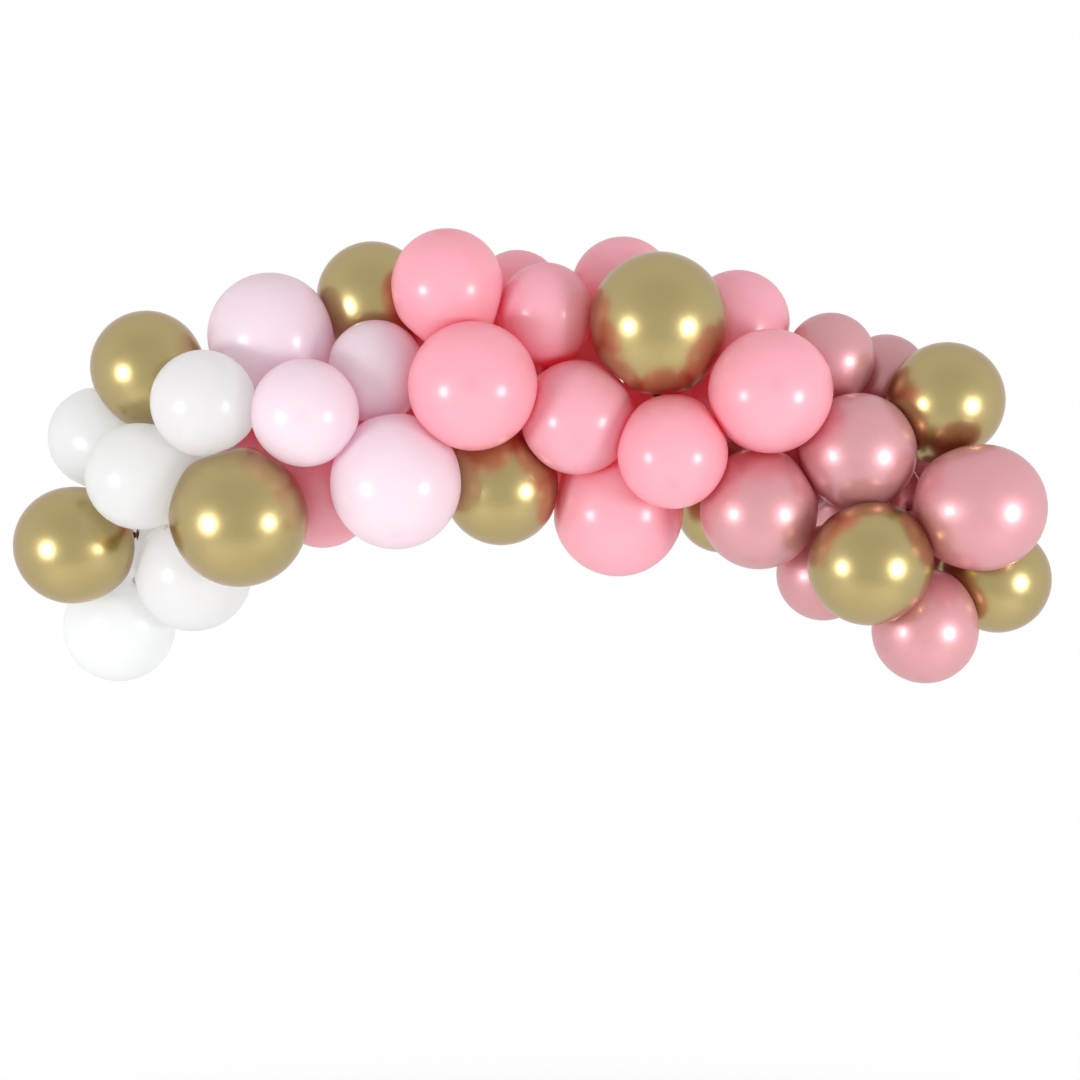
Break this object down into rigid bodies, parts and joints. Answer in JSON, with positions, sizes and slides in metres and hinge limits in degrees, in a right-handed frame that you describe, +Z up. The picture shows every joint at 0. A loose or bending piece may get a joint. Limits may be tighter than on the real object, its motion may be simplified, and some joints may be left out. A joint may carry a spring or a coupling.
{
  "type": "balloon garland",
  "caption": "Arch-shaped garland of round latex balloons in white, pinks and chrome gold, tied close together along a clear punched strip, made to hang.",
  "frame": {"origin": "middle of the strip's upper face at the crown of the arch, where the garland is hung", "axes": "+X to the right along the garland's length, -Y to its front, +Z up out of the strip's face at the crown"},
  "size_m": [1.9871, 0.6625, 0.8655],
  "materials": {
    "white_latex": "satin",
    "blush_latex": "satin",
    "pink_latex": "gloss",
    "rose_latex": "satin",
    "gold_latex": "polished",
    "clear_strip": "gloss"
  },
  "bodies": {
    "root": {"balloon_strip": "clear_strip", "white_balloon_1": "white_latex", "white_balloon_2": "white_latex", "gold_balloon_1": "gold_latex", "white_balloon_3": "white_latex", "white_balloon_4": "white_latex", "gold_balloon_2": "gold_latex", "white_balloon_5": "white_latex", "gold_balloon_3": "gold_latex", "blush_balloon_1": "blush_latex", "blush_balloon_2": "blush_latex", "pink_balloon_1": "pink_latex", "gold_balloon_4": "gold_latex", "blush_balloon_3": "blush_latex", "blush_balloon_4": "blush_latex", "pink_balloon_2": "pink_latex", "pink_balloon_3": "pink_latex", "gold_balloon_5": "gold_latex", "pink_balloon_4": "pink_latex", "pink_balloon_5": "pink_latex", "pink_balloon_6": "pink_latex", "pink_balloon_7": "pink_latex", "pink_balloon_8": "pink_latex", "gold_balloon_6": "gold_latex", "pink_balloon_9": "pink_latex", "gold_balloon_7": "gold_latex", "pink_balloon_10": "pink_latex", "rose_balloon_1": "rose_latex", "pink_balloon_11": "pink_latex", "rose_balloon_2": "rose_latex", "rose_balloon_3": "rose_latex", "rose_balloon_4": "rose_latex", "gold_balloon_8": "gold_latex", "rose_balloon_5": "rose_latex", "rose_balloon_6": "rose_latex", "gold_balloon_9": "gold_latex", "rose_balloon_7": "rose_latex", "rose_balloon_8": "rose_latex", "gold_balloon_10": "gold_latex", "white_balloon_6": "white_latex", "white_balloon_7": "white_latex", "pink_balloon_12": "pink_latex", "blush_balloon_5": "blush_latex", "pink_balloon_13": "pink_latex", "pink_balloon_14": "pink_latex", "gold_balloon_11": "gold_latex", "pink_balloon_15": "pink_latex", "pink_balloon_16": "pink_latex", "pink_balloon_17": "pink_latex", "pink_balloon_18": "pink_latex", "pink_balloon_19": "pink_latex", "rose_balloon_9": "rose_latex", "rose_balloon_10": "rose_latex", "gold_balloon_12": "gold_latex", "rose_balloon_11": "rose_latex", "rose_balloon_12": "rose_latex"}
  },
  "joints": []
}
